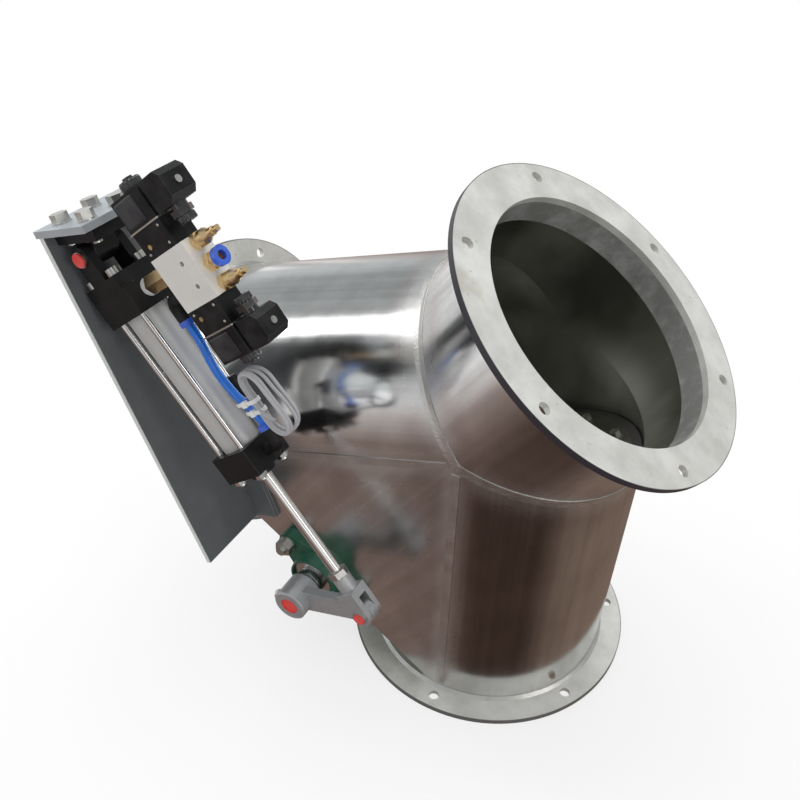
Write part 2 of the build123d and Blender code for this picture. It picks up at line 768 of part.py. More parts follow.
with BuildPart() as pilot_plates:
    for way in (-1, 1):
        seat = on(valve_end(way, pilot_len), (pilot_high / 2, 0, 0))
        rounded_box(seat, pilot_high + 3, coil_w, plate_t, 1)
save(pilot_plates, "pilot_plates")

with BuildPart() as coils:
    for way in (-1, 1):
        seat = on(valve_end(way, pilot_len + plate_t), (pilot_high / 2, 0, 0))
        rounded_box(seat, pilot_high, coil_w, coil_len, 2.5)
save(coils, "coils")

coil_nut_r = 8.5
coil_nut_t = 8.0
coil_nut_grips = 12
with BuildPart() as coil_nuts:
    for way in (-1, 1):
        seat = on(valve_end(way, pilot_len + plate_t + coil_len), (pilot_high / 2, 0, 0))
        with BuildSketch(seat):
            Circle(coil_nut_r)
            with PolarLocations(coil_nut_r, coil_nut_grips):
                Circle(1, mode=Mode.SUBTRACT)
        extrude(amount=coil_nut_t)
        post(on(seat, (0, 0, coil_nut_t)), coil_nut_r / 2, 2)
save(coil_nuts, "coil_nuts")

plug_foot = valve_p + pilot_high
plug_seat = 4.0
plug_edge = 5.0
gland_p = pilot_high + 13
gland_bore = 3.5
gland_base = 4.0
gland_nut_r = 8.0
gland_nut_t = 5.0
gland_cap_r = 6.5
gland_cap_t = 6.0
with BuildPart() as plugs:
    half = coil_len / 2
    high = plug_high - plug_seat
    outline = [(0, -half), (high - plug_edge, -half), (high, plug_edge - half)]
    outline += [(p, -z) for p, z in reversed(outline)]
    for way in (-1, 1):
        middle = valve_mid + way * coil_mid
        rounded_box(valve_face(plug_foot, middle, 1), plug_w - 4, coil_len - 3, plug_seat, 1)
        with BuildSketch(side(on(act, (plug_foot + plug_seat, 0, middle)), plug_w / 2)):
            Polygon(*outline, align=None)
        extrude(amount=plug_w)
save(plugs, "plugs")

with BuildPart() as plug_screws:
    for way in (-1, 1):
        post(valve_face(plug_foot + plug_high, valve_mid + way * coil_mid, 1), 3, 1.6)
save(plug_screws, "plug_screws")

with BuildPart() as cable_glands:
    for way in (-1, 1):
        mouth = on(valve_end(way, pilot_len + plate_t), (gland_p, 0, 0), z_dir=(0, 0, -1))
        ring(mouth, 2 * gland_bore, gland_bore, gland_base)
        with BuildSketch(on(mouth, (0, 0, gland_base))):
            RegularPolygon(gland_nut_r, 6, major_radius=False)
            Circle(gland_bore, mode=Mode.SUBTRACT)
        extrude(amount=gland_nut_t)
        ring(on(mouth, (0, 0, gland_base + gland_nut_t)), gland_cap_r, gland_bore, gland_cap_t)
save(cable_glands, "cable_glands")

thread_len = 6.0
port_hex = 6.0
silencer_r = 6.3
silencer_neck = 3.6
silencer_af = 13.0
silencer_body = 7.0
silencer_cone = 5.0
silencer_tip = 5.0
silencer_screw = 6.0
screw_slot_w = 0.9
with BuildPart() as mufflers:
    for offset in (-exhaust_pitch, exhaust_pitch):
        seat = valve_face(valve_top, valve_mid + offset, 1)
        post(on(seat, (0, 0, -thread_len)), port_r - press, thread_len)
        hexagon(seat, silencer_af, port_hex)
        body = on(seat, (0, 0, port_hex))
        shoulder = on(body, (0, 0, silencer_body))
        tip = on(shoulder, (0, 0, silencer_cone))
        screw = on(tip, (0, 0, silencer_tip))
        post(body, silencer_r, silencer_body)
        with Locations(shoulder):
            Cone(silencer_r, silencer_neck, silencer_cone, align=up)
        post(tip, silencer_neck, silencer_tip)
        post(screw, silencer_neck - 1, silencer_screw)
        with Locations(on(screw, (0, 0, silencer_screw - 1))):
            Box(2 * silencer_neck, screw_slot_w, 2, align=up, mode=Mode.SUBTRACT)
save(mufflers, "mufflers")

collar_len = 5.0
hose_r = hose_d / 2
collar_r = 7.2
inlet_collar_r = 8.0
elbow_r = 6.5
elbow_arm = 18.0
socket_len = 8.0
with BuildPart() as air_inlet:
    seat = valve_face(valve_top, valve_mid, 1)
    inlet_end = on(seat, (0, 0, port_hex + 5))
    post(on(seat, (0, 0, -thread_len)), port_r - press, thread_len)
    hexagon(seat, 14, port_hex)
    post(on(seat, (0, 0, port_hex)), elbow_r, 5)
    post(on(inlet_end, (0, 0, -socket_len)), hose_r + press, socket_len, Mode.SUBTRACT)
save(air_inlet, "air_inlet")

elbow_at = port_at + port_pitch
elbow_bend = 7.2
valve_arm = on(act, (hose_p, 0, elbow_at))
cap_arm = on(act, (hose_end_p, 0, front_port), z_dir=(0, 0, -1))


def tube(places, bends, radius):
    """A round bar along straight runs with tangent arcs between them. Gives its length."""
    with BuildLine() as route:
        FilletPolyline(*places, radius=bends)
    with BuildSketch(Plane(origin=places[0], z_dir=places[1] - places[0])) as outline:
        Circle(radius)
    sweep(outline.sketch, path=route.wire())
    return route.wire().length


with BuildPart() as elbows:
    for arm, way, stem in ((valve_arm, 1, valve_p - hose_p), (cap_arm, -1, hose_end_p - cap_half)):
        spots = [(way * stem, 0, 0), (0, 0, 0), (0, 0, elbow_arm)]
        tube([arm.from_local_coords(Vector(*spot)) for spot in spots], elbow_bend, elbow_r)
        root = on(arm, (way * stem, 0, 0), x_dir=(0, 1, 0), z_dir=(way, 0, 0))
        post(root, port_r - press, thread_len)
        post(on(arm, (0, 0, elbow_arm - socket_len)), hose_r + press, socket_len + 1, Mode.SUBTRACT)
save(elbows, "elbows")

with BuildPart() as release_collars:
    for arm in (valve_arm, cap_arm):
        ring(on(arm, (0, 0, elbow_arm)), collar_r, hose_r + press, collar_len)
    ring(inlet_end, inlet_collar_r, hose_r + press, collar_len)
save(release_collars, "release_collars")


def tube_along(points, radius):
    """A tube through points given in the actuator's frame, bent as gently as its runs allow."""
    bends = []
    for before, here, after in zip(points, points[1:], points[2:]):
        into = Vector(*here) - Vector(*before)
        out = Vector(*after) - Vector(*here)
        half = radians(into.get_angle(out)) / 2
        bends.append(0.45 * min(into.length, out.length) / tan(half))
    length = tube([act.from_local_coords(Vector(*point)) for point in points], bends, radius)
    print("bend radii", [round(bend, 1) for bend in bends], "length", round(length, 1))


hose_in = elbow_arm - socket_len + 1
hose_points = [
    (hose_p, 0, elbow_at + hose_in),
    (hose_p, 0, elbow_at + 37),
    (30, 0, 131),
    (32, 0, 160),
    (hose_end_p, 0, 184),
    (hose_end_p, 0, front_port - hose_in),
]
with BuildPart() as air_hose:
    tube_along(hose_points, hose_r)
save(air_hose, "air_hose")

# Reed switch clamped to a tie rod, with its cable hanked and tied to the hose
switch_w = 7.0
switch_len = 28.0
switch_back = 56.8  # from the front cap back to the switch
switch_at = barrel_stop - switch_back
clamp_wall = 1.2
switch_y = -tie_half
switch_p = tie_half + tie_d / 2 + switch_w / 2 + 0.1
with BuildPart() as reed_switch:
    rounded_box(on(act, (switch_p, switch_y, switch_at)), switch_w, switch_w, switch_len, 1.2)
    with BuildSketch(on(act, (tie_half, switch_y, switch_at + 6))):
        Circle(tie_d / 2 + clamp_wall)
        Circle(tie_d / 2 + press, mode=Mode.SUBTRACT)
    extrude(amount=9)
save(reed_switch, "reed_switch")

hank_r = 3.8
hank_y = 8.0
hank_low_p = 61.0
hank_bend = 13.0
hank_run = 30.0
hank_mid = 174.0
cable_points = [
    (switch_p, switch_y, switch_at + switch_len),
    (switch_p, switch_y, switch_at + switch_len + 16),
    (34, -16, switch_at + switch_len + 33),
    (56, -7, switch_at + switch_len + 33),
    (hank_low_p, hank_y - 2, 186),
]
with BuildPart() as sensor_cable:
    tube_along(cable_points, cable_d / 2)
    hank_start = on(act, (hank_low_p, hank_y, hank_mid - hank_run / 2))
    post(on(hank_start, (0, 0, -4)), hank_r + 0.1, hank_run + 8, Mode.SUBTRACT)
save(sensor_cable, "sensor_cable")

with BuildPart() as cable_coil:
    hank_plane = side(on(act, (hank_low_p + hank_bend, 0, hank_mid)), hank_y)
    with BuildLine(hank_plane) as loop:
        Line((-hank_bend, -hank_run / 2), (-hank_bend, hank_run / 2))
        CenterArc((0, hank_run / 2), hank_bend, 0, 180)
        Line((hank_bend, hank_run / 2), (hank_bend, -hank_run / 2))
        CenterArc((0, -hank_run / 2), hank_bend, 180, 180)
    with BuildSketch(hank_start):
        Circle(hank_r)
    sweep(path=loop.wire())
save(cable_coil, "cable_coil")

tie_w = 3.6
tie_t = 1.1
tie_slack = 1.0  # room for the hose where it runs askew through the tie
with BuildPart() as cable_ties:
    for along, hose_now in ((167, 35), (177, 39.3)):
        for start, width, grow, mode in (
            (along, tie_w, tie_t, Mode.ADD),
            (along - 1, tie_w + 2, 0, Mode.SUBTRACT),
        ):
            with BuildSketch(on(act, (0, 0, start))):
                with Locations((hose_now, 0)):
                    Circle(hose_r + tie_slack + grow)
                with Locations((hank_low_p, hank_y)):
                    Circle(hank_r + 0.1 + grow)
                make_hull()
            extrude(amount=width, mode=mode)
        with Locations(on(act, ((hose_now + hank_low_p) / 2, hank_y + 1.5, along - 1))):
            Box(6, 4, tie_w + 2, align=up)
save(cable_ties, "cable_ties")
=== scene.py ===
from math import cos, pi, radians, sin

import bmesh
import bpy
import numpy as np
from mathutils import Matrix, Vector


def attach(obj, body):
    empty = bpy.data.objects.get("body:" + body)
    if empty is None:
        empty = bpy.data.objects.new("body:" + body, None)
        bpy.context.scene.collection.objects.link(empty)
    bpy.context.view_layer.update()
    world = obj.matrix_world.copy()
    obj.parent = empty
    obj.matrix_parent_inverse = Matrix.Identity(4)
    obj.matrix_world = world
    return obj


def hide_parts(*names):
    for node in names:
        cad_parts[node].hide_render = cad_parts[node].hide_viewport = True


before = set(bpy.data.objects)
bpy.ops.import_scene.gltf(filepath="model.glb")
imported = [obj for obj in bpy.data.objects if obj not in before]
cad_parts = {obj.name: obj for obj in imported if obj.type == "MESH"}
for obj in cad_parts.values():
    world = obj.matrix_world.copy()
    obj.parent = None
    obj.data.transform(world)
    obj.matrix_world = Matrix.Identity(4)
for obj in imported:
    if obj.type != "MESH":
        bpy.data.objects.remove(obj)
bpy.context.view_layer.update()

# Main sizes, in metres, as the part's solids have them
MM = 0.001
TURN = radians(35.6)
PIPE_R = 0.1365
INLET_LEG = 0.1275
OUTLET_LEG = 0.340
FLANGE_R = 0.165
RIM_BAND = 0.0012
RING_BACK = 0.0064  # just behind the flange ring, where its neck starts
ACT_Y = -0.188
WEB_OUT = 0.2215  # cut front edge of the bracket web
PIVOT = Vector((-0.3170474, ACT_Y, 0.4874955))
ACT_WAY = Vector((0.6106365, 0.0, -0.7919110))
CROSSING = Vector((0.0, 0.0, OUTLET_LEG))


class Axes:
    """A right-handed frame: x, y and z axes through an origin."""

    def __init__(self, origin, x, z):
        self.origin = Vector(origin)
        self.x = Vector(x).normalized()
        self.z = Vector(z).normalized()
        self.y = self.z.cross(self.x)

    def at(self, x=0.0, y=0.0, z=0.0):
        return self.origin + self.x * x + self.y * y + self.z * z

    def points(self, local):
        """Local points, given as rows, moved into the world."""
        basis = np.array([self.x, self.y, self.z])
        return np.asarray(local) @ basis + np.array(self.origin)


def pipe_axes(way_x, way_z):
    return Axes(CROSSING, way_x, way_z)


DUCT = pipe_axes((cos(TURN), 0, -sin(TURN)), (sin(TURN), 0, cos(TURN)))
LEG_B = pipe_axes((1, 0, 0), (0, 0, -1))
leg_a_z = -sin(TURN) * DUCT.x - cos(TURN) * DUCT.z
leg_a_x = -cos(TURN) * DUCT.x + sin(TURN) * DUCT.z
LEG_A = pipe_axes(leg_a_x, leg_a_z)
ACT = Axes(PIVOT, ACT_WAY.cross(Vector((0, 1, 0))), ACT_WAY)


def act_at(p, out, w):
    """A point of the actuator: p away from outlet A, out to the front, w along the cylinder, in mm."""
    return ACT.at(p * MM, out * MM, w * MM)


# Shader helpers

# Sockets that Blender knows by number only
VECTOR_VALUE, GEOMETRY_NORMAL = 1, 1
MIX_FACTOR, MIX_A, MIX_B, MIX_COLOUR = 0, 6, 7, 2
RAY_CAMERA, RAY_GLOSSY = 0, 3


class Socket:
    """A shader value. Sums of sockets and numbers add their Math nodes."""

    def __init__(self, tree, out):
        self.tree = tree
        self.out = out

    def node(self, kind, values=(), output=0, **settings):
        """Adds a node of any kind: settings first, then the values or links of its sockets."""
        made = self.tree.nodes.new(kind)
        stops = settings.pop("stops", None)
        for name, value in settings.items():
            setattr(made, name, value)
        if stops:
            ramp = made.color_ramp
            while len(ramp.elements) < len(stops):
                ramp.elements.new(0.5)
            for element, (place, shade) in zip(ramp.elements, stops):
                element.position = place
                element.color = shade if len(shade) == 4 else (*shade, 1)
        pairs = values.items() if isinstance(values, dict) else enumerate(values)
        for key, value in pairs:
            if isinstance(value, Socket):
                self.tree.links.new(value.out, made.inputs[key])
            elif value is not None:
                made.inputs[key].default_value = value
        return Socket(self.tree, made.outputs[output])

    def maths(self, operation, *values):
        return self.node("ShaderNodeMath", values, operation=operation)

    def __add__(self, other):
        return self.maths("ADD", self, other)

    __radd__ = __add__

    def __sub__(self, other):
        return self.maths("SUBTRACT", self, other)

    def __rsub__(self, other):
        return self.maths("SUBTRACT", other, self)

    def __mul__(self, other):
        return self.maths("MULTIPLY", self, other)

    __rmul__ = __mul__

    def __pow__(self, other):
        return self.maths("POWER", self, other)

    def absolute(self):
        return self.maths("ABSOLUTE", self)

    def sine(self):
        return self.maths("SINE", self)

    def angle(self, other):
        """The angle whose sine goes with this value and whose cosine goes with the other."""
        return self.maths("ARCTAN2", self, other)

    def vector(self, operation, *values, output=0):
        return self.node("ShaderNodeVectorMath", (self, *values), output=output, operation=operation)

    def dot(self, way):
        return self.vector("DOT_PRODUCT", tuple(way), output=VECTOR_VALUE)

    def length(self):
        return self.vector("LENGTH", output=VECTOR_VALUE)

    def less(self, way):
        return self.vector("SUBTRACT", tuple(way))

    def stretched(self, x, y, z):
        return self.vector("MULTIPLY", (x, y, z))

    def step(self, low, high, out_low=0.0, out_high=1.0):
        """Runs smoothly from out_low to out_high as the value goes from low to high."""
        values = (self, low, high, out_low, out_high)
        return self.node("ShaderNodeMapRange", values, interpolation_type="SMOOTHSTEP")

    def blend(self, first, second):
        """A colour between two, by this value."""
        values = {MIX_FACTOR: self, MIX_A: first, MIX_B: second}
        return self.node("ShaderNodeMix", values, output=MIX_COLOUR, data_type="RGBA")

    def times(self, colour):
        """This colour multiplied by another."""
        values = {MIX_FACTOR: 1.0, MIX_A: self, MIX_B: colour}
        return self.node("ShaderNodeMix", values, output=MIX_COLOUR, data_type="RGBA", blend_type="MULTIPLY")

    def noise(self, scale, detail, rough):
        """Noise from 0 to 1 over this vector."""
        values = {"Vector": self, "Scale": scale, "Detail": detail, "Roughness": rough}
        return self.node("ShaderNodeTexNoise", values)

    def join(self, y, z):
        """A vector of this value and two others."""
        return self.node("ShaderNodeCombineXYZ", (self, y, z))


def rgb(shade):
    return (*shade, 1.0)


def material(name, metallic=0.0, coat=0.0, specular=0.5):
    """An empty principled material: its position socket and its shader node."""
    made = bpy.data.materials.new(name)
    made.use_nodes = True
    tree = made.node_tree
    shader = tree.nodes["Principled BSDF"]
    shader.inputs["Metallic"].default_value = metallic
    shader.inputs["Coat Weight"].default_value = coat
    shader.inputs["Specular IOR Level"].default_value = specular
    coordinates = tree.nodes.new("ShaderNodeTexCoord")
    return made, Socket(tree, coordinates.outputs["Object"]), shader


def feed(place, shader, **values):
    """Links or sets the shader's sockets by name, with underscores for spaces."""
    for name, value in values.items():
        socket = shader.inputs[name.replace("_", " ")]
        if isinstance(value, Socket):
            place.tree.links.new(value.out, socket)
        else:
            socket.default_value = value


def true_normal(place):
    return place.node("ShaderNodeNewGeometry", (), output=GEOMETRY_NORMAL)


def bump(height, distance, strength, normal=None):
    values = {"Strength": strength, "Distance": distance, "Height": height}
    if normal is not None:
        values["Normal"] = normal
    return height.node("ShaderNodeBump", values)


def edge_wear(place, radius):
    """1 on outer edges and corners, 0 on flat faces: how far a rounded normal leaves the true one."""
    rounded = place.node("ShaderNodeBevel", {"Radius": radius}, samples=4)
    agreement = rounded.vector("DOT_PRODUCT", true_normal(place), output=VECTOR_VALUE)
    return agreement.step(0.94, 0.995, 1.0, 0.0)


def seam_masks(place):
    """How near a point is to the welds: 1 on a seam, 0 at 30 or 40 mm from it."""
    offset = place.less(CROSSING)
    side = offset.dot(DUCT.x)
    depth = offset.dot((0, 1, 0)).absolute()
    masks = []
    for leg, sign in ((LEG_B, 1), (LEG_A, -1)):
        from_mitre = offset.dot((DUCT.z - leg.z).normalized()).absolute()
        masks.append(from_mitre.step(0.004, 0.040, 1.0, 0.0) * (side * sign).step(-0.01, 0.02))
        below = offset.dot(leg.z).step(-0.01, 0.01)
        from_side = offset.dot(leg.x).absolute()
        masks.append(from_side.step(0.004, 0.030, 1.0, 0.0) * depth.step(0.118, 0.130) * below)
    total = masks[0]
    for mask in masks[1:]:
        total = total.maths("MAXIMUM", total, mask)
    return total


def sheet_steel(name, axis, flat=False, grime=0.0, rough=0.16):
    """Polished stainless sheet: fine lines round an axis, broad bands along it, cloudy polish, dull and
    tinted beside the welds, and matt on the inside of the duct, where its colour is painted shade: dark,
    lighter in smears and beside the welds."""
    made, place, shader = material(name, metallic=1.0)
    offset = place.less(CROSSING)
    along, over, side = offset.dot(axis.z), offset.dot(axis.x), offset.dot(axis.y)
    lines = (along * 900.0).join(over * 9.0, side * 9.0).noise(1.0, 4.0, 0.65)
    bands = (side.angle(over) * 5.0).join(along * 0.6, 0.0).noise(2.2, 4.0, 0.6)
    cloud = offset.noise(9.0, 5.0, 0.6)
    blots = offset.stretched(1.0, 1.0, 0.45).noise(34.0, 4.0, 0.55)
    near = seam_masks(place)
    mixed = cloud * 0.4 + blots * 0.25 + bands * 0.35
    shade = mixed.step(0.30, 0.70).blend(rgb(SHEET_DARK), rgb(SHEET_LIGHT))
    halo = (near * pi).sine()
    tint = (halo * 0.5).blend(shade, shade.times(rgb((0.84, 0.78, 0.76))))
    stain = cloud.step(0.60, 0.74) * grime
    tint = stain.blend(tint, tint.times(rgb((0.62, 0.58, 0.52))))
    reach = side.absolute() if flat else (over * over + side * side) ** 0.5
    outside = reach.step(PIPE_R - SKIN_END, PIPE_R - SKIN)
    smear = offset.stretched(1.0, 1.6, 0.7).noise(9.0, 3.0, 0.55).step(0.38, 0.70)
    # Inside the duct the colour is painted shade: dark, lighter in smears and beside the welds
    inner = (smear * 0.7 + near * 0.5).blend(rgb(INSIDE_DARK), rgb(INSIDE_LIGHT))
    tint = outside.blend(inner, tint)
    uneven = (blots - 0.5) * 0.08 + (lines - 0.5) * 0.08 + (bands - 0.5) * 0.10
    dull = outside * (near * 0.16 + uneven + rough) + (1.0 - outside) * INSIDE_ROUGH
    soft = offset.noise(5.0, 2.0, 0.5)
    normal = bump(lines, 0.00005, 0.3, bump(soft, 0.004, 0.22))
    feed(place, shader, Base_Color=tint, Roughness=dull, Normal=normal)
    return made


def pickled_steel(name, centre, axis, rim_shade):
    """Flange ring: dull pickled plate with smears round the ring, brown stains and a darker cut rim, made
    near black as painted shade on the inlet flange.
    """
    made, place, shader = material(name)
    offset = place.less(centre)
    smear = offset.noise(22.0, 5.0, 0.62)
    specks = offset.noise(160.0, 3.0, 0.7)
    blot = offset.noise(14.0, 4.0, 0.6)
    shade = smear.step(0.3, 0.7).blend(rgb((0.60, 0.60, 0.565)), rgb((0.78, 0.78, 0.745)))
    brown = blot.step(0.60, 0.70) * 0.45
    shade = brown.blend(shade, rgb((0.46, 0.42, 0.34)))
    dark = specks.step(0.66, 0.72) * 0.5
    shade = dark.blend(shade, rgb((0.22, 0.20, 0.19)))
    # The rim takes the given colour: the darker cut edge, and on the inlet flange painted shade
    rim = offset.length().step(FLANGE_R - RIM_BAND, FLANGE_R - RIM_BAND / 6)
    shade = rim.blend(shade, rgb(rim_shade))
    neck = offset.dot(axis).step(-RING_BACK - 0.0008, -RING_BACK, 1.0, 0.0)
    rubbed = offset.noise(30.0, 5.0, 0.7).step(0.4, 0.7)
    shade = neck.blend(shade, rubbed.blend(rgb((0.30, 0.305, 0.29)), rgb((0.52, 0.53, 0.52))))
    dull = (smear - 0.5) * 0.25 + specks * 0.08 + 0.44
    normal = bump(specks, 0.0002, 0.35, bump(smear, 0.0008, 0.25))
    feed(place, shader, Base_Color=shade, Roughness=dull, Metallic=(1.0 - rim) * 0.45, Normal=normal)
    return made


def weld_metal(name):
    """Ground weld beads: bright, with a fine ripple across the bead."""
    made, place, shader = material(name, metallic=1.0)
    ripple = place.noise(420.0, 2.0, 0.5)
    patch = place.noise(60.0, 4.0, 0.6)
    shade = patch.blend(rgb((0.46, 0.44, 0.42)), rgb((0.74, 0.73, 0.71)))
    dull = patch * 0.22 + 0.28
    normal = bump(ripple, 0.0006, 0.6, bump(patch, 0.0012, 0.5))
    feed(place, shader, Base_Color=shade, Roughness=dull, Normal=normal)
    return made


def hard_metal(name, dark, light, rough, metallic=1.0, scale=80.0, grain=0.0001, wear=None, dirt=0.0):
    """Machined, plated or cast metal: clouded shade, fine grain, brighter edges and dirt in patches."""
    made, place, shader = material(name, metallic=metallic)
    cloud = place.noise(scale, 4.0, 0.6)
    fine = place.noise(scale * 14, 3.0, 0.6)
    shade = cloud.blend(rgb(dark), rgb(light))
    if dirt:
        spots = place.noise(scale * 1.7, 5.0, 0.65).step(0.56, 0.70) * dirt
        shade = spots.blend(shade, rgb((0.10, 0.08, 0.06)))
    dull = (cloud - 0.5) * 0.2 + (fine - 0.5) * 0.12 + rough
    if wear:
        worn = edge_wear(place, wear) * cloud.step(0.25, 0.6, 0.4, 1.0)
        shade = worn.blend(shade, rgb([min(1.0, part * 1.35 + 0.12) for part in light]))
    feed(place, shader, Base_Color=shade, Roughness=dull, Normal=bump(fine, grain, 0.5))
    return made


def paint(
    name, colour, rough, bare, wear=0.0006, orange=0.0002, dust=0.10, keep=0.45, cut=None, specular=0.35
):
    """Paint: slight orange peel, a little dust on upward faces, bare metal on worn edges, and a pale
    metal colour on the front face that lies as far out as cut."""
    made, place, shader = material(name, specular=specular)
    cloud = place.noise(40.0, 4.0, 0.6)
    peel = place.noise(900.0, 2.0, 0.5)
    lighter = [part * 1.35 + 0.012 for part in colour]
    shade = cloud.blend(rgb(colour), rgb(lighter))
    upward = true_normal(place).dot((0, 0, 1)).step(0.2, 1.0)
    powder = upward * place.noise(24.0, 4.0, 0.7).step(0.4, 0.7) * dust
    shade = powder.blend(shade, rgb((0.42, 0.41, 0.39)))
    worn = edge_wear(place, wear) * place.noise(300.0, 3.0, 0.6).step(keep, keep + 0.12)
    shade = worn.blend(shade, rgb(bare))
    dull = (cloud - 0.5) * 0.18 + powder * 0.5 + rough
    if cut:
        edge = place.dot((0, -1, 0)).step(cut - 0.0004, cut - 0.0001)
        shade = edge.blend(shade, rgb((0.62, 0.65, 0.63)))
    feed(place, shader, Base_Color=shade, Roughness=dull, Metallic=worn, Normal=bump(peel, orange, 0.5))
    return made


def moulded(name, colour, rough, grain=0.00012, coat=0.0, faded=0.12, specular=0.5):
    """Moulded plastic: spark-eroded grain, faint clouds, softly lighter edges."""
    made, place, shader = material(name, coat=coat, specular=specular)
    cloud = place.noise(55.0, 3.0, 0.6)
    fine = place.noise(1400.0, 2.0, 0.6)
    pale = [part + (0.5 - part) * faded for part in colour]
    shade = cloud.step(0.35, 0.75).blend(rgb(colour), rgb(pale))
    worn = edge_wear(place, 0.0004) * 0.5
    shade = worn.blend(shade, rgb([part + (0.7 - part) * 0.22 for part in colour]))
    dull = (cloud - 0.5) * 0.22 + (fine - 0.5) * 0.1 + rough
    feed(place, shader, Base_Color=shade, Roughness=dull, Normal=bump(fine, grain, 0.4))
    return made


def rubber_sheet(name):
    """Dull black rubber, a little greyed in clouds."""
    made, place, shader = material(name)
    cloud = place.noise(30.0, 4.0, 0.6)
    fine = place.noise(900.0, 2.0, 0.6)
    shade = cloud.blend(rgb((0.020, 0.019, 0.018)), rgb((0.065, 0.06, 0.055)))
    feed(place, shader, Base_Color=shade, Roughness=cloud * 0.2 + 0.6, Normal=bump(fine, 0.0002, 0.5))
    return made


SHEET_DARK = (0.50, 0.495, 0.49)
SHEET_LIGHT = (0.76, 0.755, 0.75)
# Colours inside the duct: painted shade, darker than the sheet outside
INSIDE_DARK = (0.19, 0.195, 0.165)
INSIDE_LIGHT = (0.46, 0.465, 0.42)
INSIDE_ROUGH = 0.42
SKIN, SKIN_END = 0.0012, 0.0022  # the outside look ends between these depths in the sheet
steel_inlet = sheet_steel("stainless_inlet", DUCT)
steel_a = sheet_steel("stainless_leg_a", LEG_A)
steel_b = sheet_steel("stainless_leg_b", LEG_B)
steel_flat = sheet_steel("stainless_sides", DUCT, flat=True, grime=0.3, rough=0.25)
zinc = hard_metal("zinc", (0.42, 0.41, 0.38), (0.70, 0.69, 0.66), 0.34, wear=0.0003, dirt=0.25)
silver_casting = hard_metal(
    "silver_casting",
    (0.34, 0.35, 0.36),
    (0.50, 0.51, 0.52),
    0.42,
    metallic=0.6,
    grain=0.0003,
    wear=0.0006,
    dirt=0.2,
)
ground_steel = hard_metal("ground_steel", (0.5, 0.5, 0.5), (0.68, 0.68, 0.68), 0.24)
chrome = hard_metal("chrome", (0.66, 0.64, 0.62), (0.78, 0.76, 0.75), 0.12, scale=30.0, grain=0.00003)
barrel_alloy = hard_metal(
    "barrel_alloy", (0.50, 0.50, 0.49), (0.60, 0.60, 0.59), 0.5, metallic=0.4, scale=24.0, grain=0.00006
)
valve_alloy = hard_metal(
    "valve_alloy", (0.76, 0.755, 0.72), (0.88, 0.875, 0.84), 0.46, metallic=0.4, scale=50.0, wear=0.0004
)
brass = hard_metal("brass", (0.66, 0.46, 0.22), (0.86, 0.66, 0.39), 0.38, wear=0.0003, dirt=0.15)
black_paint = paint(
    "cap_black", (0.004, 0.004, 0.0045), 0.30, (0.45, 0.45, 0.44), keep=0.60, dust=0.03, specular=0.18
)
green_paint = paint(
    "housing_green", (0.012, 0.085, 0.050), 0.32, (0.30, 0.31, 0.30), wear=0.0008, orange=0.0006
)
grey_paint = paint(
    "bracket_grey",
    (0.085, 0.092, 0.098),
    0.42,
    (0.62, 0.62, 0.61),
    wear=0.0009,
    keep=0.30,
    dust=0.12,
    cut=WEB_OUT,
)
head_grey = hard_metal(
    "head_plate", (0.40, 0.44, 0.47), (0.52, 0.56, 0.59), 0.46, metallic=0.6, wear=0.0006
)
black_plastic = moulded("black_plastic", (0.006, 0.006, 0.0065), 0.42, faded=0.03, specular=0.22)
glossy_black = moulded("glossy_black", (0.006, 0.006, 0.007), 0.16, coat=0.8, faded=0.03)
red_plastic = moulded("red_plastic", (0.72, 0.020, 0.016), 0.30, coat=0.3)
blue_plastic = moulded("blue_plastic", (0.015, 0.10, 0.62), 0.26, coat=0.3)
hose_blue = moulded("hose_blue", (0.003, 0.17, 0.74), 0.18, grain=0.00002, coat=0.7, faded=0.04)
white_plastic = moulded("white_plastic", (0.78, 0.78, 0.77), 0.40)
cable_grey = moulded("cable_grey", (0.40, 0.40, 0.42), 0.48, grain=0.00005)
rubber = rubber_sheet("seal_rubber")
weld = weld_metal("weld")


def flange_steel(name, axes, length, rim_shade=(0.13, 0.125, 0.125)):
    """The look of a flange at the end of a pipe, at a length along its axes."""
    return pickled_steel(name, axes.at(z=length), axes.z, rim_shade)


NODE_MATERIALS = {
    "inlet_pipe": steel_inlet,
    "outlet_shell_a": steel_a,
    "outlet_shell_b": steel_b,
    "outlet_throats": steel_flat,
    "side_plates": steel_flat,
    "floor_plate": steel_flat,
    # The inlet flange's near black rim is painted shade
    "inlet_flange": flange_steel("flange_inlet", DUCT, INLET_LEG, (0.026, 0.022, 0.030)),
    "outlet_flange_a": flange_steel("flange_a", LEG_A, OUTLET_LEG),
    "outlet_flange_b": flange_steel("flange_b", LEG_B, OUTLET_LEG),
    "weld_seams": weld,
    "bearing_housings": green_paint,
    "bracket_web": grey_paint,
    "bracket_head": head_grey,
    "flap_carrier": steel_flat,
    "flap_clamp": steel_flat,
    "flap_seal": rubber,
    "barrel": barrel_alloy,
    "valve_block": valve_alloy,
    "seal_tape": white_plastic,
    "cable_ties": white_plastic,
    "air_hose": hose_blue,
    "release_collars": blue_plastic,
}
for names, look in (
    ("bearing_races bearing_rings", ground_steel),
    ("bearing_studs mount_bolts clevis_bolts hub_screw lock_nut flap_screws", zinc),
    ("plug_screws pilot_plates pivot_pin clevis_pin", zinc),
    ("shaft lever_arm rod_clevis", silver_casting),
    ("shaft_cap pivot_pin_cap clevis_pin_cap", red_plastic),
    ("rear_cap front_cap rear_clevis pivot_block", black_paint),
    ("tie_rods piston_rod", chrome),
    ("port_nipple mufflers air_inlet override_rear override_front", brass),
    ("pilot_blocks coils plugs elbows reed_switch", black_plastic),
    ("coil_nuts cable_glands", glossy_black),
    ("sensor_cable cable_coil", cable_grey),
):
    for node in names.split():
        NODE_MATERIALS[node] = look
for node, look in NODE_MATERIALS.items():
    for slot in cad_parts[node].material_slots:
        slot.link = "OBJECT"
        slot.material = look

# Helpers for new pieces


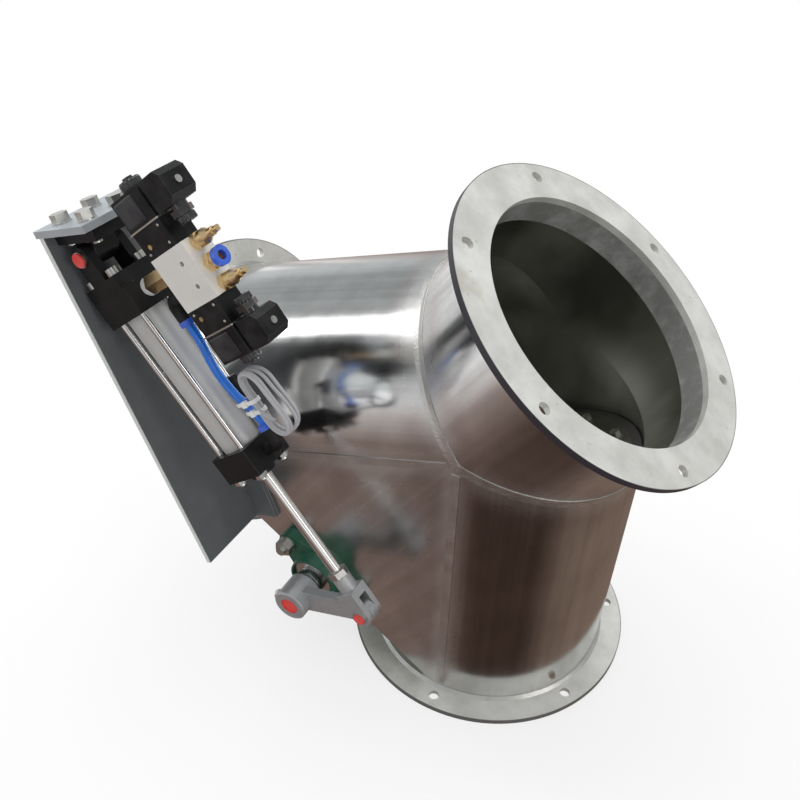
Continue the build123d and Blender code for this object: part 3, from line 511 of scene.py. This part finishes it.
def add_mesh(name, vertices, faces, look, body, angle=35.0):
    """A closed mesh from arrays of corners and faces, on a body, shaded smooth up to an angle in degrees."""
    mesh = bpy.data.meshes.new(name)
    mesh.from_pydata(np.asarray(vertices).tolist(), [], [list(map(int, face)) for face in faces])
    built = bmesh.new()
    built.from_mesh(mesh)
    bmesh.ops.remove_doubles(built, verts=built.verts, dist=1e-6)
    bmesh.ops.recalc_face_normals(built, faces=built.faces)
    built.to_mesh(mesh)
    built.free()
    mesh.materials.append(look)
    made = bpy.data.objects.new(name, mesh)
    bpy.context.scene.collection.objects.link(made)
    mesh.shade_smooth()
    mesh.set_sharp_from_angle(angle=radians(angle))
    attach(made, body)


def grid_faces(rows, columns, closed_rows=False):
    """Faces of a grid whose columns close on themselves, and with closed_rows its rows as well."""
    down = rows if closed_rows else rows - 1
    row, column = np.meshgrid(np.arange(down), np.arange(columns), indexing="ij")
    after = (row + 1) % rows
    beside = (column + 1) % columns
    here, there = row * columns, after * columns
    return np.stack((here + column, here + beside, there + beside, there + column), -1).reshape(-1, 4)


def turned(axes, profile, steps):
    """Corners and faces of a closed profile of (radius, height) pairs turned about the axes' Z."""
    profile = np.asarray(profile, float)
    angles = np.linspace(0, 2 * pi, steps, endpoint=False)
    radius, height = profile[:, 0][:, None], profile[:, 1][:, None]
    local = np.stack([radius * np.cos(angles), radius * np.sin(angles), height + 0 * angles], -1)
    return axes.points(local.reshape(-1, 3)), grid_faces(len(profile), steps, closed_rows=True)


def act_axes(p, out, w, x, z):
    """Axes at a point of the actuator, with x and z given in the actuator's own directions."""
    ways = [ACT.x * way[0] + ACT.y * way[1] + ACT.z * way[2] for way in (x, z)]
    return Axes(act_at(p, out, w), *ways)


def ribbed(name, axes, radius, length, ribs, depth, look, body):
    """A ribbed sleeve: the radius grows by a squared cosine round the axis, once for each rib, and falls
    away at both ends."""
    steps = ribs * 8
    angles = np.linspace(0, 2 * pi, steps, endpoint=False)
    wave = np.cos(angles * ribs / 2) ** 2
    shares = np.array([0.0, 0.06, 0.2, 0.8, 0.94, 1.0])
    fall = np.array([0.55, 0.9, 1.0, 1.0, 0.9, 0.55])
    outer = radius + depth * wave[None, :] * fall[:, None] - depth * (1 - fall[:, None])
    inner = np.full((2, steps), radius - 2.2 * depth)
    reach = np.vstack([outer, inner]) * MM
    level = np.concatenate([shares * length, [length, 0.0]])[:, None] * MM + 0 * reach
    local = np.stack([reach * np.cos(angles), reach * np.sin(angles), level], -1).reshape(-1, 3)
    faces = grid_faces(len(reach), steps, closed_rows=True)
    add_mesh(name, axes.points(local), faces, look, body)


def plate(name, axes, wide, high, thick, corner, look, body, steps=8):
    """A flat plate with round corners, a little bevelled at its front. Its rings run from the back to the
    front, and each is the outline of a smaller rectangle grown by quarter circles."""
    turns = np.linspace(0, pi / 2, steps)
    quarters = np.concatenate([turns + quarter * pi / 2 for quarter in range(4)])
    sign_x = np.repeat([1, -1, -1, 1], steps)
    sign_y = np.repeat([1, 1, -1, -1], steps)
    rings = []
    for inset, level in ((0, 0), (0, thick * 0.6), (thick * 0.4, thick), (corner * 0.9, thick)):
        radius = max(corner - inset, 0.02)
        x = sign_x * (wide / 2 - corner) + radius * np.cos(quarters)
        y = sign_y * (high / 2 - corner) + radius * np.sin(quarters)
        rings.append(np.stack([x, y, np.full_like(x, level)], -1))
    count = 4 * steps
    local = np.vstack(rings) * MM
    faces = grid_faces(len(rings), count).tolist()
    faces.append(list(range(count))[::-1])
    faces.append(list(range((len(rings) - 1) * count, len(rings) * count)))
    add_mesh(name, axes.points(local), faces, look, body, angle=50)


def screw_head(name, axes, radius, height, look, body):
    """A low domed head with a hollow in its middle: a profile turned about its axis."""
    steps = np.linspace(0, pi / 2, 6)
    dome = [(radius * (0.55 + 0.45 * cos(a)), height * sin(a)) for a in steps]
    profile = [(0.0, 0.0), (radius, 0.0), *dome, (radius * 0.5, height * 0.4), (0.0, height * 0.4)]
    spots, faces = turned(axes, np.array(profile) * MM, 20)
    add_mesh(name, spots, faces, look, body)


# Details on the valve: bare plates, grip ribs and small screws, in mm in the actuator's frame
VALVE_P, VALVE_MID, VALVE_HALF = 62.0, 56.0, 24.0
PILOT_LEN, PILOT_HIGH, COIL_LEN, PLATE_T = 23.0, 38.0, 26.0, 1.2
PILOT_OUT, COIL_OUT = 13.5, 15.0  # front faces
MIDDLE_P = VALVE_P + PILOT_HIGH / 2
COIL_FROM = PILOT_LEN + PLATE_T
COIL_PLATE = (25, 21, 0.5, 1.5)  # width, height, thickness and corner
COIL_PLATE_DROP = 3.0
GLAND_RIBS = (6.9, 6.0, 14, 0.8)  # radius, length, number and depth of the ribs
GLAND_P = VALVE_P + PILOT_HIGH + 13.0
GLAND_BACK = 9.5
KNOB_RIBS = (8.7, 6.8, 18, 0.6)
KNOB_GAP = 0.6
PILOT_SCREW = (1.3, 0.6)  # radius and height
PILOT_SCREW_SPOTS = ((5.0, 4.0), (33.0, 4.0), (33.0, 19.0))
OUTWARD = {"x": (1, 0, 0), "z": (0, 1, 0)}  # for what sits on a front face
plate_black = moulded("plate_black", (0.014, 0.015, 0.020), 0.30, grain=0.00002, faded=0.05)
for tag, way in (("rear", -1), ("front", 1)):
    end = VALVE_MID + way * VALVE_HALF
    face = act_axes(MIDDLE_P - COIL_PLATE_DROP, COIL_OUT, end + way * (COIL_FROM + COIL_LEN / 2), **OUTWARD)
    plate("coil_plate_" + tag, face, *COIL_PLATE, plate_black, "cylinder")
    mouth = act_axes(GLAND_P, 0, end + way * (COIL_FROM - GLAND_BACK), x=(1, 0, 0), z=(0, 0, -way))
    ribbed("gland_nut_" + tag, mouth, *GLAND_RIBS, glossy_black, "cylinder")
    knob_from = end + way * (COIL_FROM + COIL_LEN + KNOB_GAP)
    knob = act_axes(MIDDLE_P, 0, knob_from, x=(1, 0, 0), z=(0, 0, way))
    ribbed("coil_knob_" + tag, knob, *KNOB_RIBS, glossy_black, "cylinder")
    for number, (p, w) in enumerate(PILOT_SCREW_SPOTS):
        spot = act_axes(VALVE_P + p, PILOT_OUT, end + way * w, **OUTWARD)
        screw_head(f"pilot_screw_{tag}_{number}", spot, *PILOT_SCREW, zinc, "cylinder")

# Sensor cable: out of the switch, round behind the front coil and into a hank tied to the hose
CORD_NODES = ("sensor_cable", "cable_coil")
CABLE_D = 3.4
HANK_P, HANK_OUT, HANK_W = 61.0, 8.0, 174.0
ARC = 1 / cos(pi / 8)  # control points of an eighth of a circle lie this much further out


def hank_points(turns):
    """Control points of a hank: each turn is two straight runs joined by half circles, and its size runs
    over into the next turn's on the second half of its way. Turns are (p, out, radius, half run, fan) in
    mm, and fan spreads a turn outwards away from its tied run."""
    upper = [(ARC * cos(a), 1, ARC * sin(a)) for a in np.radians([157.5, 112.5, 67.5, 22.5])]
    lower = [(ARC * cos(a), -1, ARC * sin(a)) for a in np.radians([-22.5, -67.5, -112.5, -157.5])]
    shape = [(-1, -0.5, 0), (-1, 0, 0), (-1, 0.5, 0), *upper, (1, 0.5, 0), (1, 0, 0), (1, -0.5, 0), *lower]
    spots = []
    for this, after in zip(turns, turns[1:]):
        for number, (side, run, bend) in enumerate(shape):
            share = max(0.0, (number - 7) / 7)
            p, out, radius, half, fan = [a + (b - a) * share for a, b in zip(this, after)]
            away = (side + 1) / 2
            along = HANK_W + half * run + radius * bend
            spots.append((HANK_P + p + radius * (1 + side), HANK_OUT + out + fan * away, along))
    return spots


lead = [(22.85, -16.25, 174), (22.85, -16.25, 190), (32, -15, 205), (49, -9, 211)]
turns = [
    (-1.6, -1.6, 16.0, 15.5, -4.5),
    (1.6, -1.6, 14.0, 17.5, -1.0),
    (1.6, 1.7, 12.8, 18.8, 3.0),
    (-1.6, 1.7, 14.8, 16.4, 6.5),
    (-1.6, 1.7, 13.5, 17.0, 8.0),
]
tail = [(60, 10, 163), (61, 11, 174), (66, 12, 184), (74, 13, 191)]
cable_points = lead + hank_points(turns)[4:] + tail  # the lead comes in on the first turn's arc
cable = bpy.data.curves.new("sensor_cable_line", "CURVE")
cable.dimensions = "3D"
cable.bevel_depth = CABLE_D / 2 * MM
cable.bevel_resolution = 5
cable.use_fill_caps = True
cable.resolution_u = 8
spline = cable.splines.new("NURBS")
spline.points.add(len(cable_points) - 1)
flat_points = np.array([(*act_at(*spot), 1.0) for spot in cable_points])
spline.points.foreach_set("co", flat_points.ravel())
spline.order_u = 3
spline.use_endpoint_u = True
cable.materials.append(cable_grey)
cable_line = bpy.data.objects.new("sensor_cable_line", cable)
bpy.context.scene.collection.objects.link(cable_line)
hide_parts(*CORD_NODES)
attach(cable_line, "cylinder")
act_at(*lead[0])

# Camera, as fitted to the photograph, with its axes: right, above and behind
camera = bpy.data.cameras.new("camera")
camera.lens = 37.94
camera.sensor_width = 36.0
camera.shift_x = -0.0342
camera.shift_y = 0.0891
view = bpy.data.objects.new("camera", camera)
bpy.context.scene.collection.objects.link(view)
right = Vector((0.88835, 0.45774, 0.03577))
above = Vector((-0.33002, 0.58246, 0.74284))
behind = Vector((0.31920, -0.67173, 0.66850))
turn = Matrix((right, above, behind)).transposed().to_4x4()
view.matrix_world = Matrix.Translation((0.2147, -0.6471, 0.8319)) @ turn
bpy.context.scene.camera = view

# Studio: a pale floor that turns to plain white further off for the camera, and isn't seen in the metal
FLOOR = 6.0
floor_mesh = bpy.data.meshes.new("floor")
corners = [(-FLOOR, -FLOOR, 0), (FLOOR, -FLOOR, 0), (FLOOR, FLOOR, 0), (-FLOOR, FLOOR, 0)]
floor_mesh.from_pydata(corners, [], [(0, 1, 2, 3)])
floor = bpy.data.objects.new("floor", floor_mesh)
bpy.context.scene.collection.objects.link(floor)
floor.visible_glossy = False
floor_look, place, shader = material("floor_look", specular=0.0)
feed(place, shader, Base_Color=rgb((0.86, 0.86, 0.86)), Roughness=0.9)
far = place.length().step(0.35, 1.2, 0.72, 1.0)
white = far.node("ShaderNodeEmission", {"Color": rgb((1, 1, 1)), "Strength": 1.0})
seen = far * far.node("ShaderNodeLightPath", (), output=RAY_CAMERA)
surface = Socket(place.tree, shader.outputs["BSDF"])
shown = seen.node("ShaderNodeMixShader", (seen, surface, white))
place.tree.links.new(shown.out, place.tree.nodes["Material Output"].inputs["Surface"])
floor_mesh.materials.append(floor_look)


def softbox(name, spot, target, wide, high, power, shade=(1, 1, 1)):
    """A soft rectangular lamp that faces a target."""
    light = bpy.data.lights.new(name, "AREA")
    light.shape = "RECTANGLE"
    light.size = wide
    light.size_y = high
    light.energy = power
    light.color = shade
    lamp = bpy.data.objects.new(name, light)
    bpy.context.scene.collection.objects.link(lamp)
    lamp.location = spot
    lamp.rotation_euler = (Vector(target) - Vector(spot)).to_track_quat("-Z", "Y").to_euler()


softbox("overhead", (-0.4, 0.5, 2.4), (0, 0, 0.3), 2.2, 1.6, 26)
softbox("window_left", (-2.1, -0.32, 1.75), (-0.1, 0, 0.4), 0.34, 1.6, 13)
softbox("window_right", (2.0, -0.6, 1.2), (0, 0, 0.25), 0.6, 1.4, 8, (1.0, 0.97, 0.94))


def hall_light(ray, up, ahead):
    """Above the horizon: grey walls that brighten to the top, clutter at eye level and a window sill."""
    stops = [(0.0, 0.72), (0.12, 0.70), (0.30, 0.42), (0.55, 0.42), (0.70, 0.60), (1.0, 0.92)]
    walls = up.node("ShaderNodeValToRGB", (up,), stops=[(at, (v * 0.95, v, v * 1.01)) for at, v in stops])
    clutter = ray.noise(6.5, 4.0, 0.6).step(0.42, 0.60, 0.35, 2.1)
    level = up.step(0.06, 0.18) * up.step(0.40, 0.52, 1.0, 0.0) * ahead.step(0.15, 0.5)
    walls = walls.times(level.blend(rgb((1, 1, 1)), clutter.join(clutter, clutter)))
    sill = up.step(0.01, 0.06) * up.step(0.12, 0.18, 1.0, 0.0) * ahead.step(0.5, 0.72)
    return (sill * ray.noise(3.5, 2.0, 0.5).step(0.40, 0.52)).blend(walls, rgb((1.5, 1.52, 1.55)))


def floor_light(ray, up, ahead):
    """Below it: a brown floor, darkest at the front right, with a pale streaked strip on the left."""
    left, right, behind = ray.dot((-1, 0, 0)), ray.dot((0.766, -0.643, 0)), ray.dot((0.5, 0.85, 0))
    brown = right.step(0.02, 0.50).blend(rgb((0.240, 0.168, 0.146)), rgb((0.055, 0.033, 0.026)))
    brown = behind.step(-0.1, 0.45).blend(brown, rgb((0.21, 0.15, 0.118)))
    brown = up.step(-0.66, -0.18).blend(brown, rgb((0.42, 0.355, 0.33)))
    streak = (ahead.angle(left) * 9.0).join(0.0, 0.0).noise(1.6, 3.0, 0.6).step(0.35, 0.65, 0.6, 1.4)
    strip = up.step(-0.48, -0.16) * left.step(0.45, 0.72)
    return strip.blend(brown, streak.join(streak, streak))


def workshop(ray):
    """What bright metal mirrors, by the direction that it looks in."""
    up, ahead = ray.dot((0, 0, 1)), ray.dot((0, -1, 0))
    return up.step(-0.03, 0.03).blend(floor_light(ray, up, ahead), hall_light(ray, up, ahead))


world = bpy.data.worlds.new("studio")
bpy.context.scene.world = world
world.use_nodes = True
tree = world.node_tree
background = tree.nodes["Background"]
direction = Socket(tree, tree.nodes.new("ShaderNodeTexCoord").outputs["Generated"])
from_camera = direction.node("ShaderNodeLightPath", (), output=RAY_CAMERA)
from_metal = direction.node("ShaderNodeLightPath", (), output=RAY_GLOSSY)
soft = direction.dot((0, 0, 1)).step(-0.4, 0.8, 0.34, 0.74)
shown = from_metal.blend(soft.join(soft, soft), workshop(direction))
shown = from_camera.blend(shown, rgb((1, 1, 1)))
tree.links.new(shown.out, background.inputs["Color"])
background.inputs["Strength"].default_value = 1.0

bpy.context.scene.view_settings.view_transform = "Standard"
